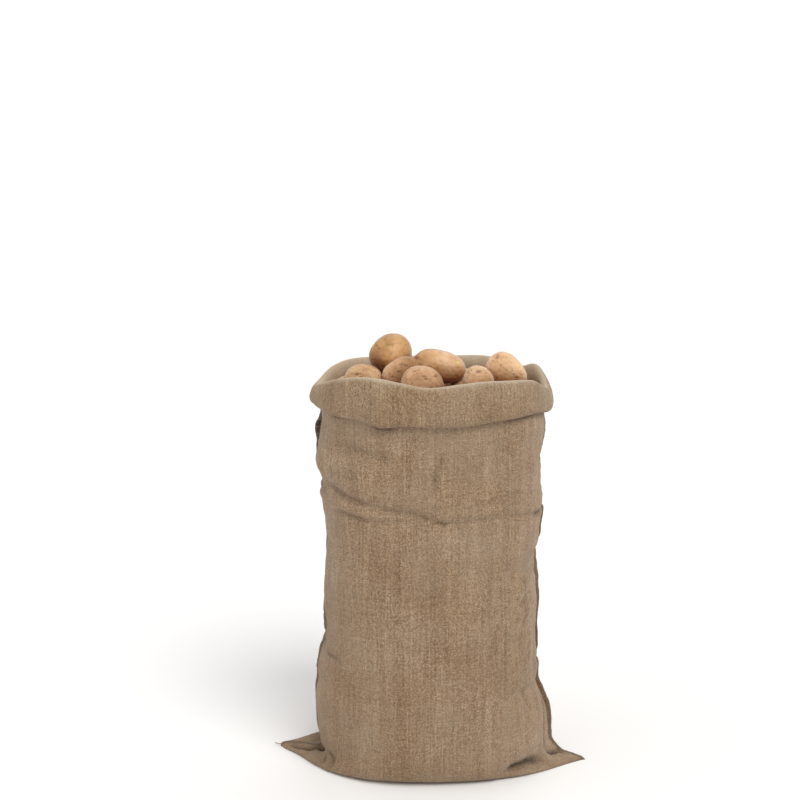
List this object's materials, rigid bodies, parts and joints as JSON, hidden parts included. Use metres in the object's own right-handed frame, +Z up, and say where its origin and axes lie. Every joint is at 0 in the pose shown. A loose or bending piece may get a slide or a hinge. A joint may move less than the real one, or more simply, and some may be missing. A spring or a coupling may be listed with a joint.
{
  "type": "hessian sack",
  "caption": "Open hessian sack filled with potatoes, standing on its base, with side seams, pointed bottom corners and its mouth turned down in a cuff.",
  "frame": {"origin": "middle of the flat base on the floor", "axes": "+Z up, the front faces -Y, the side seams and bottom corners lie towards -X and +X"},
  "size_m": [0.5782, 0.332, 0.7988],
  "materials": {
    "hessian": "plain woven jute, matt",
    "potato_skin": "washed potato skin, slight sheen",
    "buried_potatoes": "potato skin in shade, matt"
  },
  "bodies": {
    "root": {"sack": "hessian", "filling": "buried_potatoes", "potato_left": "potato_skin", "potato_top": "potato_skin", "potato_slant": "potato_skin", "potato_long": "potato_skin", "potato_front": "potato_skin", "potato_small": "potato_skin", "potato_pear": "potato_skin", "potato_back_left": "potato_skin", "potato_back_a": "potato_skin", "potato_back_b": "potato_skin", "potato_back_c": "potato_skin", "potato_back_right": "potato_skin", "potato_under_top": "potato_skin", "potato_centre": "potato_skin", "potato_middle": "potato_skin", "potato_low_front": "potato_skin", "potato_low_right": "potato_skin", "potato_corner": "potato_skin"}
  },
  "joints": []
}
